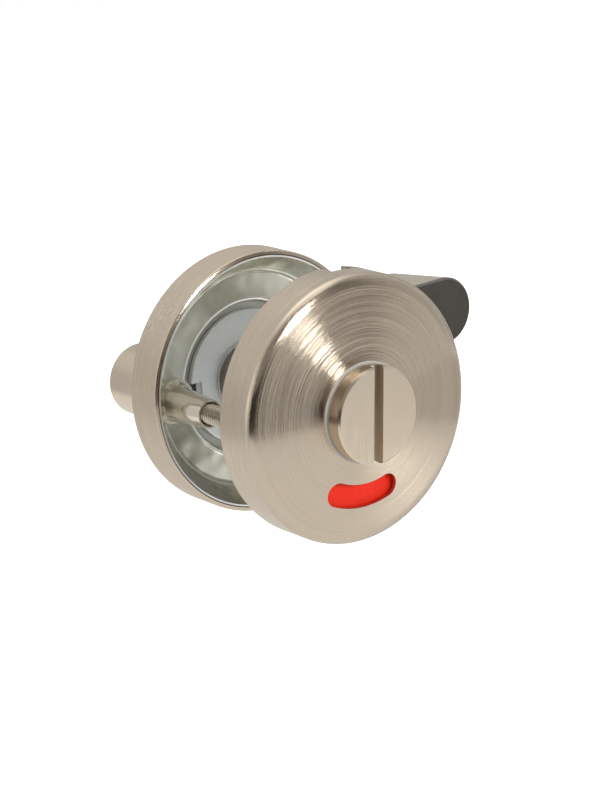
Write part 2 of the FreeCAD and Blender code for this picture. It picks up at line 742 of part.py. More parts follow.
spindle = new_body("spindle")
spindle_low = knob_socket_end + mm.spindle_end_gap
spindle_high = turn_socket_end - mm.spindle_end_gap
spindle_sketch = section_sketch(spindle, "spindle_outline", spindle_low)
spindle_half = mm.spindle_width / 2
draw_rectangle(spindle_sketch, -spindle_half, spindle_half, -spindle_half, spindle_half)
pad(spindle, "spindle_bar", spindle_sketch, spindle_high - spindle_low)
turned(spindle, mm.turn_angle)


# Check every object and write one file for each piece.

pieces = [outer_cover, outer_base, release_knob, knob_bush, indicator_disc, knob_washer, knob_retaining_disc,
          inner_cover, inner_base, thumb_turn, turn_bush, turn_washer, turn_retaining_disc, spindle, grub_screw,
          fixing_screws]
doc.recompute()
for item in doc.Objects:
    if "Invalid" in item.State or "Error" in item.State:
        raise RuntimeError(f"{item.Name} failed: {item.State}")
for piece in pieces:
    if piece.Shape.isNull() or not piece.Shape.isValid():
        raise RuntimeError(f"{piece.Label} has no valid shape")
os.makedirs("parts", exist_ok=True)
for piece in pieces:
    piece.Shape.exportStep(f"parts/{piece.Label}.step")
    print(f"{piece.Label}: {len(piece.Shape.Solids)} solid, {piece.Shape.Volume:.1f} mm3")
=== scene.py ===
import math

import bmesh
import bpy
import numpy as np
from mathutils import Matrix, Vector


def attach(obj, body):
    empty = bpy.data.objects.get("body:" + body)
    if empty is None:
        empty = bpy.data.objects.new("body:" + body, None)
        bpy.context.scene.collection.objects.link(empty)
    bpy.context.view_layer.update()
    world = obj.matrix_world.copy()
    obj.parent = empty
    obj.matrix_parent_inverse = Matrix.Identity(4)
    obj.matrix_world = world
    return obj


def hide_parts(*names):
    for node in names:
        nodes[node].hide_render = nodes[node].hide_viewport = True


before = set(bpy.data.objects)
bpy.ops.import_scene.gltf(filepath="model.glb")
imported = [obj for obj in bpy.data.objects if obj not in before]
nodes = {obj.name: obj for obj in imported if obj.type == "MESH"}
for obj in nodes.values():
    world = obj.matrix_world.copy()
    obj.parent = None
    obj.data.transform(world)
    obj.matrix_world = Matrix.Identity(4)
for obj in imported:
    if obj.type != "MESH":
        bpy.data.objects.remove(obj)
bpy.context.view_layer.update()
scene = bpy.context.scene
scene.view_settings.view_transform = "Standard"
mm = 0.001
perMetre = 1000.0
print("frame loaded:", len(nodes), "nodes")


class Wire:
    # an output socket; arithmetic on it adds Math nodes
    def __init__(self, shade, socket):
        self.shade = shade
        self.socket = socket

    def calc(self, operation, *values):
        return self.shade.add("ShaderNodeMath", {"operation": operation}, list(values))

    def __add__(self, other): return self.calc("ADD", self, other)
    def __radd__(self, other): return self.calc("ADD", other, self)
    def __sub__(self, other): return self.calc("SUBTRACT", self, other)
    def __rsub__(self, other): return self.calc("SUBTRACT", other, self)
    def __mul__(self, other): return self.calc("MULTIPLY", self, other)
    def __rmul__(self, other): return self.calc("MULTIPLY", other, self)
    def __truediv__(self, other): return self.calc("DIVIDE", self, other)
    def __rtruediv__(self, other): return self.calc("DIVIDE", other, self)
    def __pow__(self, other): return self.calc("POWER", self, other)
    def __rpow__(self, other): return self.calc("POWER", other, self)
    def size(self): return self.calc("ABSOLUTE", self)
    def larger(self, other): return self.calc("MAXIMUM", self, other)
    def swing(self, amount): return (self - 0.5) * amount  # a noise made to swing about nought
    def other(self, name): return Wire(self.shade, self.socket.node.outputs[name])

    def ramp(self, low, high):
        # smooth step, nought at the first value and one at the second
        return self.shade.add("ShaderNodeMapRange", {"interpolation_type": "SMOOTHSTEP", "clamp": True},
                              {"Value": self, "From Min": low, "From Max": high})


def mixed(noises, shares, middle=0.5):
    # noises that swing about a middle value, each by its share
    total = middle
    for noise, share in zip(noises, shares):
        total = noise.swing(share) + total
    return total


def colour(red, green, blue):
    # as a colour socket takes it
    return red, green, blue, 1.0


class Shade:
    # one material and the nodes that make its finish
    def __init__(self, name, **constants):
        self.material = bpy.data.materials.new(name)
        self.material.use_nodes = True
        self.tree = self.material.node_tree
        self.surface = self.tree.nodes["Principled BSDF"]
        for key, value in constants.items():
            self.surface.inputs[key.replace("_", " ")].default_value = value

    def add(self, kind, settings=None, inputs=None, out=0):
        # any node: its type, its settings, then the values or links of its sockets
        node = self.tree.nodes.new(kind)
        for key, value in (settings or {}).items():
            setattr(node, key, value)
        pairs = enumerate(inputs) if isinstance(inputs, list) else (inputs or {}).items()
        for key, value in pairs:
            if isinstance(value, Wire):
                self.tree.links.new(value.socket, node.inputs[key])
            else:
                node.inputs[key].default_value = value
        return Wire(self, node.outputs[out])

    def feed(self, **inputs):
        for key, wire in inputs.items():
            self.tree.links.new(wire.socket, self.surface.inputs[key.replace("_", " ")])

    def show(self, surface):
        # another surface than the material's own shader
        self.tree.links.new(surface.socket, self.tree.nodes["Material Output"].inputs["Surface"])

    def place(self):
        # object coordinates in millimetres, one by one and as a vector
        split = self.add("ShaderNodeSeparateXYZ", inputs=[self.add("ShaderNodeTexCoord", out="Object")])
        x, y, z = (split.other(axis) * perMetre for axis in "XYZ")
        return x, y, z, self.vector(x, y, z)

    def facing(self, low, high):
        # one where the surface looks along the spindle, nought on walls round it
        outward = self.add("ShaderNodeTexCoord", out="Normal")
        return self.add("ShaderNodeSeparateXYZ", inputs=[outward], out=1).size().ramp(low, high)

    def vector(self, x, y, z):
        return self.add("ShaderNodeCombineXYZ", inputs=[x, y, z])

    def noise(self, vector, scale=1.0, detail=2.0, roughness=0.5):
        return self.add("ShaderNodeTexNoise", {"noise_dimensions": "3D"},
                        {"Vector": vector, "Scale": scale, "Detail": detail, "Roughness": roughness})

    def grain(self, axes, paces, **kind):
        # noise with its own pace, in changes to the millimetre, along each axis
        return self.noise(self.vector(*(axis * pace for axis, pace in zip(axes, paces))), **kind)

    def blend(self, factor, first, second):
        # colour mix of wires or plain colours, with a clamped factor
        first, second = (part if isinstance(part, Wire) else colour(*part) for part in (first, second))
        return self.add("ShaderNodeMix", {"data_type": "RGBA", "clamp_factor": True},
                        {0: factor, 6: first, 7: second}, out=2)

    def lean(self, directions):
        # tilts the surface normal along object-space directions by given amounts
        normal = self.add("ShaderNodeNewGeometry", out="Normal")
        for direction, amount in directions:
            world = self.add("ShaderNodeVectorTransform",
                             {"vector_type": "VECTOR", "convert_from": "OBJECT", "convert_to": "WORLD"}, [direction])
            step = self.add("ShaderNodeVectorMath", {"operation": "SCALE"}, {0: world, "Scale": amount})
            normal = self.add("ShaderNodeVectorMath", {"operation": "ADD"}, [normal, step])
        return self.add("ShaderNodeVectorMath", {"operation": "NORMALIZE"}, [normal])

    def bump(self, height, distance, strength, normal=None):
        inputs = {"Height": height, "Distance": distance, "Strength": strength}
        if normal:
            inputs["Normal"] = normal
        return self.add("ShaderNodeBump", inputs=inputs)


class Sky(Shade):
    # the world's nodes take the same helpers
    def __init__(self, owner):
        self.tree = owner.node_tree


# Finishes; levels and radii are millimetres, and a fade is where it is nought and where it is one

postSettings = {"pitch": 38.0, "angle": 7.0}  # the two posts and their screws


def polar(x, z):
    # radius from the spindle, never nought, and the unit direction round it
    radius = (x * x + z * z) ** 0.5 + 0.001
    return radius, x / radius, z / radius


def tiltedAxes(x, z, degrees):
    # places along and across a line through the spindle that is tilted from the level
    turn = math.radians(degrees)
    return x * math.cos(turn) + z * math.sin(turn), z * math.cos(turn) - x * math.sin(turn)


def fromPost(x, z):
    # distance from the axis of the nearer post
    u, v = tiltedAxes(x, z, postSettings["angle"])
    arm = u.size() - postSettings["pitch"] / 2
    return (arm * arm + v * v) ** 0.5


turnedSettings = {"base": (0.625, 0.535, 0.425), "dark": (0.475, 0.40, 0.31), "rough": 0.17, "wallRough": 0.17,
                  "wallPace": 1.7, "fine": (60.0, 0.7, 0.7), "bands": (16.0, 0.8, 0.8), "scratches": (4.5, 2.6, 2.6),
                  "toneShares": (0.9, 0.9, 0.5), "scratchShare": 2.2, "roughShares": (0.16, 0.08),
                  "tilt": 1.6, "bandTilt": 0.04, "faceFade": (0.6, 0.9), "edgeFade": (23.6, 25.6), "edgeLean": 0.34,
                  "marks": None}
markSettings = {"pale": (0.80, 0.73, 0.64), "paleShare": 0.75, "lines": 3.2, "slant": 42.0, "turns": 26.0,
                "markFade": (0.53, 0.66), "towards": (-0.78, 0.62), "spotFade": (0.90, 0.99),
                "strayFade": (0.55, 0.75), "strayShare": 0.35, "rough": 0.22, "lean": 0.4}
wornSettings = {**turnedSettings, "marks": markSettings, "wallRough": 0.30}


def turnedSteel(name, settings):
    # rings round the spindle: noise stretched along each ring leans the normal along the profile
    shade = Shade(name, Metallic=1.0)
    x, y, z, point = shade.place()
    radius, c, s = polar(x, z)
    along = radius + y * settings["wallPace"]
    fine = shade.grain((along, c, s), settings["fine"], detail=2.0, roughness=0.5)
    bands = shade.grain((along, c, s), settings["bands"], detail=2.0, roughness=0.65)
    scratches = shade.grain((along, c, s), settings["scratches"], detail=4.0, roughness=0.7)
    patch = shade.noise(point, scale=0.06, detail=3.0)
    ring = shade.vector(s * -1.0, 0.0, c)
    outward = shade.add("ShaderNodeTexCoord", out="Normal")
    profile = shade.add("ShaderNodeVectorMath", {"operation": "CROSS_PRODUCT"}, [outward, ring])
    facing = shade.facing(*settings["faceFade"])
    wall = 1.0 - facing
    tone = mixed((fine, bands, patch), settings["toneShares"]) + scratches.swing(settings["scratchShare"]) * wall
    steel = shade.blend(tone, settings["dark"], settings["base"])
    rough = mixed((fine, patch), settings["roughShares"], settings["rough"]) + wall * settings["wallRough"]
    lean = fine.swing(settings["tilt"]) + bands.swing(settings["bandTilt"])
    # the edge is worn round, so the normal leans outwards towards it
    rounded = radius.ramp(*settings["edgeFade"]) * facing * settings["edgeLean"]
    directions = [(profile, lean), (shade.vector(c, 0.0, s), rounded)]
    if settings["marks"]:
        # short handling marks, thickest at one side of the wall and stray elsewhere
        mark = settings["marks"]
        slanted = along * mark["lines"] + c * mark["slant"]
        marks = shade.noise(shade.vector(slanted, c * mark["turns"], s * mark["turns"]), detail=4.0, roughness=0.7)
        spot = (c * mark["towards"][0] + s * mark["towards"][1]).ramp(*mark["spotFade"])
        stray = shade.noise(point, scale=0.13, detail=2.0).ramp(*mark["strayFade"])
        hurt = marks.ramp(*mark["markFade"]) * (spot + stray * mark["strayShare"]) * wall
        steel = shade.blend(hurt * mark["paleShare"], steel, mark["pale"])
        rough = rough + hurt * mark["rough"]
        directions.append((ring, marks.swing(mark["lean"]) * spot * wall))
    shade.feed(Base_Color=steel, Roughness=rough, Normal=shade.lean(directions))
    return shade.material


knobSettings = {"base": (0.72, 0.62, 0.495), "dark": (0.57, 0.48, 0.375), "rough": 0.24, "tilt": 0.40,
                "faceGrain": (16.0, 2.0, 0.14), "sideGrain": (16.0, 2.0, 2.0), "toneShares": (1.1, 0.3),
                "roughShare": 0.16, "faceFade": (-14.42, -14.50), "slotFade": (1.12, 1.08),
                # the slot colours are painted shade in the slot and painted light on its bottom
                "mouthFade": (-14.78, -14.70), "paintedSlotShade": (0.44, 0.35, 0.25), "paintedSlotShadeShare": 0.7,
                "paintedSlotFloorLight": (0.86, 0.76, 0.63), "paintedSlotFloorLightFade": (-13.40, -13.35)}


def knobSteel(settings):
    # straight grain down the face, rings on the side, browner in the slot by painted shade, with painted light on the
    # slot's bottom
    shade = Shade("knobSteel", Metallic=1.0)
    x, y, z, point = shade.place()
    c, s = polar(x, z)[1:]
    inSlot = x.size().ramp(*settings["slotFade"]) * y.ramp(*settings["mouthFade"])
    straight = y.ramp(*settings["faceFade"]).larger(inSlot)
    down = shade.grain((x, y, z), settings["faceGrain"], detail=3.0, roughness=0.62)
    turned = shade.grain((y, c, s), settings["sideGrain"], detail=3.0, roughness=0.6)
    lines = down * straight + turned * (1.0 - straight)
    patch = shade.noise(point, scale=0.14, detail=2.0)
    steel = shade.blend(mixed((lines, patch), settings["toneShares"]), settings["dark"], settings["base"])
    # painted shade darkens the slot, then painted light brightens its bottom
    steel = shade.blend(inSlot * settings["paintedSlotShadeShare"], steel, settings["paintedSlotShade"])
    steel = shade.blend(inSlot * y.ramp(*settings["paintedSlotFloorLightFade"]), steel, settings["paintedSlotFloorLight"])
    across = shade.vector(straight, 1.0 - straight, 0.0)
    shade.feed(Base_Color=steel, Roughness=lines.swing(settings["roughShare"]) + settings["rough"],
               Normal=shade.lean([(across, lines.swing(settings["tilt"]))]))
    return shade.material


barSettings = {"base": (0.70, 0.605, 0.485), "dark": (0.55, 0.465, 0.365), "rough": 0.28, "tilt": 0.6, "angle": 5.8,
               "lines": 9.0, "sideLines": 0.3, "stretch": 0.08, "toneShares": (0.9, 0.5), "roughShare": 0.16,
               "faceFade": (0.5, 0.8), "band": (0.20, 0.185, 0.165), "bandFade": (33.23, 33.17),
               "cast": (0.070, 0.060, 0.049), "castDark": (0.037, 0.032, 0.026), "castShares": (1.1, 0.6),
               "castRough": 0.6, "castMetal": 0.1, "castFade": (32.78, 32.74), "castBump": (0.00006, 0.6)}


def barSteel(settings):
    # grain along the bar; the side towards the door is left as cast, dark and finely pitted
    shade = Shade("barSteel", Specular_IOR_Level=0.3)
    x, y, z, point = shade.place()
    u, v = tiltedAxes(x, z, settings["angle"])
    facing = shade.facing(*settings["faceFade"])
    paces = (settings["stretch"], settings["lines"], settings["lines"] * facing + settings["sideLines"])
    lines = shade.grain((u, y, v), paces, detail=3.0, roughness=0.6)
    patch = shade.noise(point, scale=0.09, detail=2.0)
    steel = shade.blend(mixed((lines, patch), settings["toneShares"]), settings["dark"], settings["base"])
    grit = shade.noise(point, scale=3.4, detail=4.0, roughness=0.7)
    sand = shade.noise(point, scale=0.35, detail=2.0)
    cast = shade.blend(mixed((grit, sand), settings["castShares"]), settings["castDark"], settings["cast"])
    onCast = y.ramp(*settings["castFade"])
    onBand = y.ramp(*settings["bandFade"])
    skin = shade.blend(onCast, shade.blend(onBand, steel, settings["band"]), cast)
    brushed = 1.0 - onBand
    rough = (lines.swing(settings["roughShare"]) + settings["rough"]) * brushed + onBand * settings["castRough"]
    lean = lines.swing(settings["tilt"]) * brushed
    turn = math.radians(settings["angle"])
    upright = shade.vector(-math.sin(turn), 0.0, math.cos(turn))
    leaned = shade.lean([(shade.vector(0.0, 1.0, 0.0), lean * (1.0 - facing)), (upright, lean * facing)])
    shade.feed(Base_Color=skin, Roughness=rough, Metallic=1.0 - onCast * (1.0 - settings["castMetal"]),
               Normal=shade.bump(grit * onCast, *settings["castBump"], leaned))
    return shade.material


castSettings = {"base": (0.80, 0.795, 0.71), "dull": (0.65, 0.655, 0.575), "rough": 0.22, "leastRough": 0.1,
                "metal": 1.0, "flow": (0.3, 2.2, 2.2), "toneShares": (1.2, 0.2), "roughShares": (0.16, 0.05),
                "pitHeight": 0.006, "bump": (0.0008, 0.65),
                # the low colour is painted shade: the castings are darker towards the bottom
                "low": (0.32, 0.32, 0.27), "paintedLowShadeFade": (2.0, -18.0), "paintedLowShadeShare": 0.75,
                "rim": (0.86, 0.85, 0.82), "rimFade": (25.0, 25.1), "rimLevels": (21.5, 21.3), "rimRough": 0.3,
                # the post colour is partly the plating's warm tone and partly a painted reflection of the warm cover
                "post": (0.66, 0.595, 0.49), "postFade": (4.5, 3.9), "postLevels": (26.0, 25.2), "postShine": 0.12,
                # the edge colour is a painted highlight, a bright ring round the hub seat
                "postDull": 0.22, "edge": (0.95, 0.945, 0.92), "paintedRingIn": (15.7, 16.0), "paintedRingOut": (16.7, 16.4),
                "paintedRingLevels": (25.8, 26.1), "paintedRingShare": 0.85,
                "seat": (0.62, 0.63, 0.57), "seatFade": (15.7, 15.55), "seatLevels": (26.9, 27.1), "seatRough": 0.3,
                "seatDull": 0.75,
                # the floor colour is painted shade in the notch behind the disc
                "floor": (0.05, 0.055, 0.045), "paintedNotchShadeFade": (13.85, 13.65), "paintedNotchShadeLevels": (28.0, 28.1)}
outerCastSettings = {**castSettings, "metal": 0.45, "rimLevels": (-0.3, -0.1)}


def castZinc(name, settings):
    # bright pressure casting: faint waves and flow marks, a dressed rim, warmer posts partly by painted reflection, a
    # painted highlight ring round the hub seat, and painted shade towards the bottom
    shade = Shade(name)
    x, y, z, point = shade.place()
    radius, c, s = polar(x, z)
    waves = shade.noise(point, scale=0.15, detail=1.0, roughness=0.4)
    flow = shade.grain((radius, c, s), settings["flow"], scale=1.2, detail=3.0, roughness=0.55)
    pits = shade.noise(point, scale=2.4, detail=3.0, roughness=0.6)
    # warmer posts: partly the plating, partly a painted reflection of the cover
    post = fromPost(x, z).ramp(*settings["postFade"]) * y.ramp(*settings["postLevels"])
    rim = radius.ramp(*settings["rimFade"]) * y.ramp(*settings["rimLevels"])
    # a painted highlight: a bright ring round the hub seat's edge
    paintedRing = radius.ramp(*settings["paintedRingIn"]) * radius.ramp(*settings["paintedRingOut"]) * y.ramp(*settings["paintedRingLevels"])
    # the seat behind the disc is dull, and painted shade makes it dark where the disc's notch shows its floor
    seat = radius.ramp(*settings["seatFade"]) * y.ramp(*settings["seatLevels"])
    paintedNotchShade = radius.ramp(*settings["paintedNotchShadeFade"]) * y.ramp(*settings["paintedNotchShadeLevels"])
    zinc = shade.blend(mixed((flow, pits), settings["toneShares"]), settings["dull"], settings["base"])
    # laid on in turn: painted shade towards the bottom, the post tint, the rim, the painted highlight ring, the seat,
    # and the painted shade in the notch
    for factor, key in ((z.ramp(*settings["paintedLowShadeFade"]) * settings["paintedLowShadeShare"], "low"), (post, "post"), (rim, "rim"),
                        (paintedRing * settings["paintedRingShare"], "edge"), (seat, "seat"), (paintedNotchShade, "floor")):
        zinc = shade.blend(factor, zinc, settings[key])
    rough = mixed((flow, pits), settings["roughShares"], settings["rough"])
    rough = rough + rim * settings["rimRough"] - post * settings["postShine"] + seat * settings["seatRough"]
    metal = (1.0 - post * settings["postDull"]) * (1.0 - seat * settings["seatDull"]) * settings["metal"]
    shade.feed(Base_Color=zinc, Metallic=metal, Roughness=rough.larger(settings["leastRough"]),
               Normal=shade.bump(waves + pits * settings["pitHeight"], *settings["bump"]))
    return shade.material


plateSettings = {"base": (0.85, 0.88, 0.89), "pale": (0.95, 0.965, 0.97), "rough": 0.56, "grain": (6.0, 6.0, 0.6),
                 "toneShares": (1.1, 0.5), "roughShares": (0.1, 0.2), "bump": (0.00002, 0.5)}
# on the turn's disc, the edge colour is a painted highlight
turnDiscSettings = {**plateSettings, "edge": (0.98, 0.985, 0.985), "edgeFade": (13.6, 13.8), "edgeShine": 0.2,
                    # the collar colour is painted shade round the shank
                    "collar": (0.20, 0.17, 0.14), "collarFade": (26.75, 26.65), "collarShare": 0.9}


def zincPlate(name, settings):
    # blue-white plating, a cloudy mottle and a faint rolled grain
    shade = Shade(name, Metallic=1.0)
    x, y, z, point = shade.place()
    mottle = shade.noise(point, scale=0.55, detail=4.0, roughness=0.6)
    rolled = shade.grain((x, y, z), settings["grain"], detail=3.0, roughness=0.6)
    zinc = shade.blend(mixed((mottle, rolled), settings["toneShares"]), settings["base"], settings["pale"])
    rough = mixed((mottle, rolled), settings["roughShares"], settings["rough"])
    if "collar" in settings:
        # painted highlight on the disc's edge, and painted shade on a collar round the shank
        edge = polar(x, z)[0].ramp(*settings["edgeFade"])
        zinc = shade.blend(edge, zinc, settings["edge"])
        # painted shade on the collar round the shank
        zinc = shade.blend(y.ramp(*settings["collarFade"]) * settings["collarShare"], zinc, settings["collar"])
        rough = rough - edge * settings["edgeShine"]
    shade.feed(Base_Color=zinc, Roughness=rough, Normal=shade.bump(rolled, *settings["bump"]))
    return shade.material


platedSettings = {"dim": 0.72, "toneShare": 1.4, "roughShare": 0.2, "bump": (0.00001, 0.4)}
grubSettings = {**platedSettings, "base": (0.12, 0.115, 0.11), "rough": 0.42}


def platedSteel(shade, point, settings):
    # screw steel: colour that is darker in patches, roughness, and the normal of a fine grain
    patch = shade.noise(point, scale=0.8, detail=3.0)
    fine = shade.noise(point, scale=9.0, detail=3.0)
    dim = [settings["dim"] * part for part in settings["base"]]
    steel = shade.blend(mixed([patch], [settings["toneShare"]]), dim, settings["base"])
    return steel, fine.swing(settings["roughShare"]) + settings["rough"], shade.bump(fine, *settings["bump"])


def grubSteel(settings):
    # blackened screw steel
    shade = Shade("grubSteel", Metallic=1.0)
    steel, rough, normal = platedSteel(shade, shade.place()[-1], settings)
    shade.feed(Base_Color=steel, Roughness=rough, Normal=normal)
    return shade.material


nylonSettings = {"base": (0.46, 0.455, 0.43), "pale": (0.56, 0.555, 0.53), "rough": 0.48, "roughShare": 0.2,
                 "bump": (0.00001, 0.3)}


def nylon(settings):
    # greyish moulded nylon, cloudy
    shade = Shade("nylon", Specular_IOR_Level=0.4)
    point = shade.place()[-1]
    cloud = shade.noise(point, scale=0.5, detail=3.0)
    fine = shade.noise(point, scale=14.0, detail=2.0)
    shade.feed(Base_Color=shade.blend(cloud, settings["base"], settings["pale"]),
               Roughness=fine.swing(settings["roughShare"]) + settings["rough"],
               Normal=shade.bump(fine, *settings["bump"]))
    return shade.material


signSettings = {"red": (0.90, 0.032, 0.012), "deep": (0.80, 0.024, 0.009), "green": (0.025, 0.34, 0.085),
                "plain": (0.78, 0.78, 0.76), "rough": 0.42, "roughShare": 0.12, "bump": (0.000006, 0.3),
                "printFade": (-7.90, -8.00), "fieldFade": (0.793, 0.777)}


def indicatorPrint(settings):
    # red field below, green field a quarter turn away, on white plastic; a field's fade is in radians
    shade = Shade("indicatorPrint", Specular_IOR_Level=0.12)
    x, y, z, point = shade.place()
    angle = shade.add("ShaderNodeMath", {"operation": "ARCTAN2"}, [z, x])
    inked = y.ramp(*settings["printFade"])
    red = (angle + math.pi / 2).size().ramp(*settings["fieldFade"]) * inked
    green = (math.pi - angle.size()).ramp(*settings["fieldFade"]) * inked
    ink = shade.noise(point, scale=0.7, detail=3.0)
    fine = shade.noise(point, scale=10.0, detail=2.0)
    redInk = shade.blend(ink, settings["deep"], settings["red"])
    face = shade.blend(red, shade.blend(green, settings["plain"], settings["green"]), redInk)
    shade.feed(Base_Color=face, Roughness=fine.swing(settings["roughShare"]) + settings["rough"],
               Normal=shade.bump(fine, *settings["bump"]))
    return shade.material


coverSteel = turnedSteel("coverSteel", turnedSettings)
discPlate = zincPlate("discPlate", plateSettings)
bushNylon = nylon(nylonSettings)
finishes = {
    "outer_cover": coverSteel,
    "inner_cover": turnedSteel("wornCoverSteel", wornSettings),
    "release_knob": knobSteel(knobSettings),
    "thumb_turn": barSteel(barSettings),
    "inner_base": castZinc("innerCasting", castSettings),
    "outer_base": castZinc("outerCasting", outerCastSettings),
    "indicator_disc": indicatorPrint(signSettings),
    "grub_screw": grubSteel(grubSettings),
    "spindle": zincPlate("spindlePlate", plateSettings),
    "turn_retaining_disc": zincPlate("turnDiscPlate", turnDiscSettings),
    "knob_retaining_disc": discPlate,
    "knob_washer": discPlate,
    "turn_washer": discPlate,
    "knob_bush": bushNylon,
    "turn_bush": bushNylon,
}
for name, material in finishes.items():
    nodes[name].data.materials.clear()
    nodes[name].data.materials.append(material)
print("finishes on", len(finishes), "nodes")


# Screws with real threads

def gridMesh(name, points, material):
    # rows of points joined to a skin, closed round each row
    rows, columns = points.shape[:2]
    index = np.arange(rows * columns).reshape(rows, columns)
    a, b = index[:-1], index[1:]
    quads = np.stack([a, np.roll(a, -1, 1), np.roll(b, -1, 1), b], axis=-1).reshape(-1, 4)
    mesh = bpy.data.meshes.new(name)
    mesh.from_pydata(points.reshape(-1, 3).tolist(), [], quads.tolist())
    mesh.materials.append(material)
    return mesh


def joinMeshes(name, meshes, material):
    # several skins in one mesh, with their doubles merged and faces turned outwards
    mergeReach = 1e-7
    whole = bmesh.new()
    for mesh in meshes:
        whole.from_mesh(mesh)
    bmesh.ops.remove_doubles(whole, verts=whole.verts, dist=mergeReach)
    bmesh.ops.recalc_face_normals(whole, faces=whole.faces)
    mesh = bpy.data.meshes.new(name)
    whole.to_mesh(mesh)
    whole.free()
    mesh.materials.clear()
    mesh.materials.append(material)
    mesh.shade_smooth()
    piece = bpy.data.objects.new(name, mesh)
    scene.collection.objects.link(piece)
    return piece


screwSettings = {"pitch": 0.7, "major": 2.0, "minor": 1.57, "head": 3.8, "length": 25.0, "start": -5.6,
                 "flankSteep": 2.4, "crest": 0.14, "plainLong": 0.6, "runoutLong": 1.0,
                 "tipLong": 0.9, "tipShare": 0.6,
                 "slotWide": 0.9, "slotReach": 2.0, "slotDeep": 1.3, "slotSoft": 0.12, "reachSoft": 0.5,
                 "around": 40, "perTurn": 14, "headRows": 8, "faceRows": 25}


def threadedScrew(name, settings, side, material):
    # radius falls down the countersunk head, then follows a V thread of one start to a pointed end
    head, major, minor, length = (settings[key] for key in ("head", "major", "minor", "length"))
    headLong = head - major
    bodyRows = int((length - headLong) / settings["pitch"] * settings["perTurn"])
    along = np.concatenate([np.linspace(0, headLong, settings["headRows"]),
                            np.linspace(headLong, length, bodyRows)[1:]])
    around = np.linspace(0, 2 * np.pi, settings["around"], endpoint=False)
    h, t = np.meshgrid(along, around, indexing="ij")
    phase = (h / settings["pitch"] - t / (2 * np.pi)) % 1.0
    flank = np.clip(np.abs(phase - 0.5) * settings["flankSteep"] - settings["crest"], 0.0, 1.0)
    thread = minor + (major - minor) * (1.0 - flank)
    cone = np.clip(head - h, major, None)
    runout = np.clip((h - headLong - settings["plainLong"]) / settings["runoutLong"], 0.0, 1.0)
    radius = np.where(h <= headLong, cone, major * (1 - runout) + thread * runout)
    tipShare = settings["tipShare"]
    radius = radius * np.clip((length - h) / settings["tipLong"] * (1 - tipShare) + tipShare, 0.0, 1.0)
    # head face with a cross recess: two slots across each other that end softly at their reach
    rings = np.linspace(0.0, head, settings["faceRows"], endpoint=False)
    ringR, ringT = np.meshgrid(rings, around, indexing="ij")
    across = np.minimum(np.abs(ringR * np.cos(ringT)), np.abs(ringR * np.sin(ringT)))
    inSlot = np.clip((settings["slotWide"] / 2 - across) / settings["slotSoft"] + 0.5, 0, 1)
    inReach = np.clip((settings["slotReach"] - ringR) / settings["reachSoft"], 0, 1)
    sink = settings["slotDeep"] * inSlot * inReach
    px = np.concatenate([ringR * np.cos(ringT), radius * np.cos(t), 0 * t[:1]])
    pz = np.concatenate([ringR * np.sin(ringT), radius * np.sin(t), 0 * t[:1]])
    py = np.concatenate([sink, h, h[-1:]])
    arm = side * postSettings["pitch"] / 2
    turn = math.radians(postSettings["angle"])
    points = np.stack([px + arm * math.cos(turn), py + settings["start"], pz + arm * math.sin(turn)], axis=-1) * mm
    return gridMesh(name, points, material)


threadSettings = {**platedSettings, "base": (0.62, 0.545, 0.44), "rough": 0.24,
                  # the root colour is painted shade in the thread's grooves
                  "paintedRootShade": (0.13, 0.105, 0.08), "paintedRootShadeShare": 0.75, "rootRough": 0.2,
                  "crestInset": 0.06, "rootInset": 0.08, "headClear": (3.0, 4.0)}


def threadedSteel(settings, screw):
    # plated steel with painted shade that darkens towards the thread's root, by the distance from the nearer screw's
    # axis
    shade = Shade("screwSteel", Metallic=1.0)
    x, y, z, point = shade.place()
    steel, rough, normal = platedSteel(shade, point, settings)
    paintedRootShade = fromPost(x, z).ramp(screw["major"] - settings["crestInset"], screw["minor"] + settings["rootInset"])
    paintedRootShade = paintedRootShade * y.ramp(*(screw["start"] + clear for clear in settings["headClear"]))
    shade.feed(Base_Color=shade.blend(paintedRootShade * settings["paintedRootShadeShare"], steel, settings["paintedRootShade"]),
               Roughness=rough + paintedRootShade * settings["rootRough"], Normal=normal)
    return shade.material


screwSteel = threadedSteel(threadSettings, screwSettings)
screwPair = [threadedScrew(f"screw{side}", screwSettings, side, screwSteel) for side in (1, -1)]
screws = joinMeshes("threadedScrews", screwPair, screwSteel)
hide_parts("fixing_screws")
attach(screws, "roses")
print("screws:", len(screws.data.polygons), "faces")


# Wall of the outer cover, closed where the photograph shows it whole

rimFillSettings = {"outer": 26.5, "inner": 26.1, "edge": 0.3, "edgeSteps": 6, "centres": (210.0, 330.0),
                   "notchArc": (-5.40, 5.40), "notchDeep": 3.59, "legArc": (-12.84, -5.42), "legBand": (-2.69, -1.61),
                   "steps": 36}


def rimSections(settings):
    # radius and level round each section: the notch's with a rounded mouth, and that of its side leg
    outer, inner, deep = settings["outer"], settings["inner"], settings["notchDeep"]
    quarter = np.linspace(0, np.pi / 2, settings["edgeSteps"])
    mouth = np.stack([np.cos(quarter) - 1, np.sin(quarter) - 1], axis=-1) * settings["edge"] + [outer, 0]
    low, high = settings["legBand"]
    return {"notchArc": [(inner, -deep), (outer, -deep), *mouth.tolist(), (inner, 0.0)],
            "legArc": [(inner, low), (outer, low), (outer, high), (inner, high)]}


def rimFill(name, settings, arc, profile, material):
    # a closed wall section carried round an arc of the rim, its ends drawn in to a point
    angle = np.radians(np.linspace(*arc, settings["steps"]))[:, None]
    radius, level = np.array(profile).T
    rise = np.broadcast_to(level, (angle.size, level.size))
    points = np.stack([radius * np.cos(angle), rise, radius * np.sin(angle)], axis=-1)
    ends = [np.broadcast_to(points[k].mean(axis=0), (1, *points.shape[1:])) for k in (0, -1)]
    return gridMesh(name, np.concatenate([ends[0], points, ends[1]]) * mm, material)


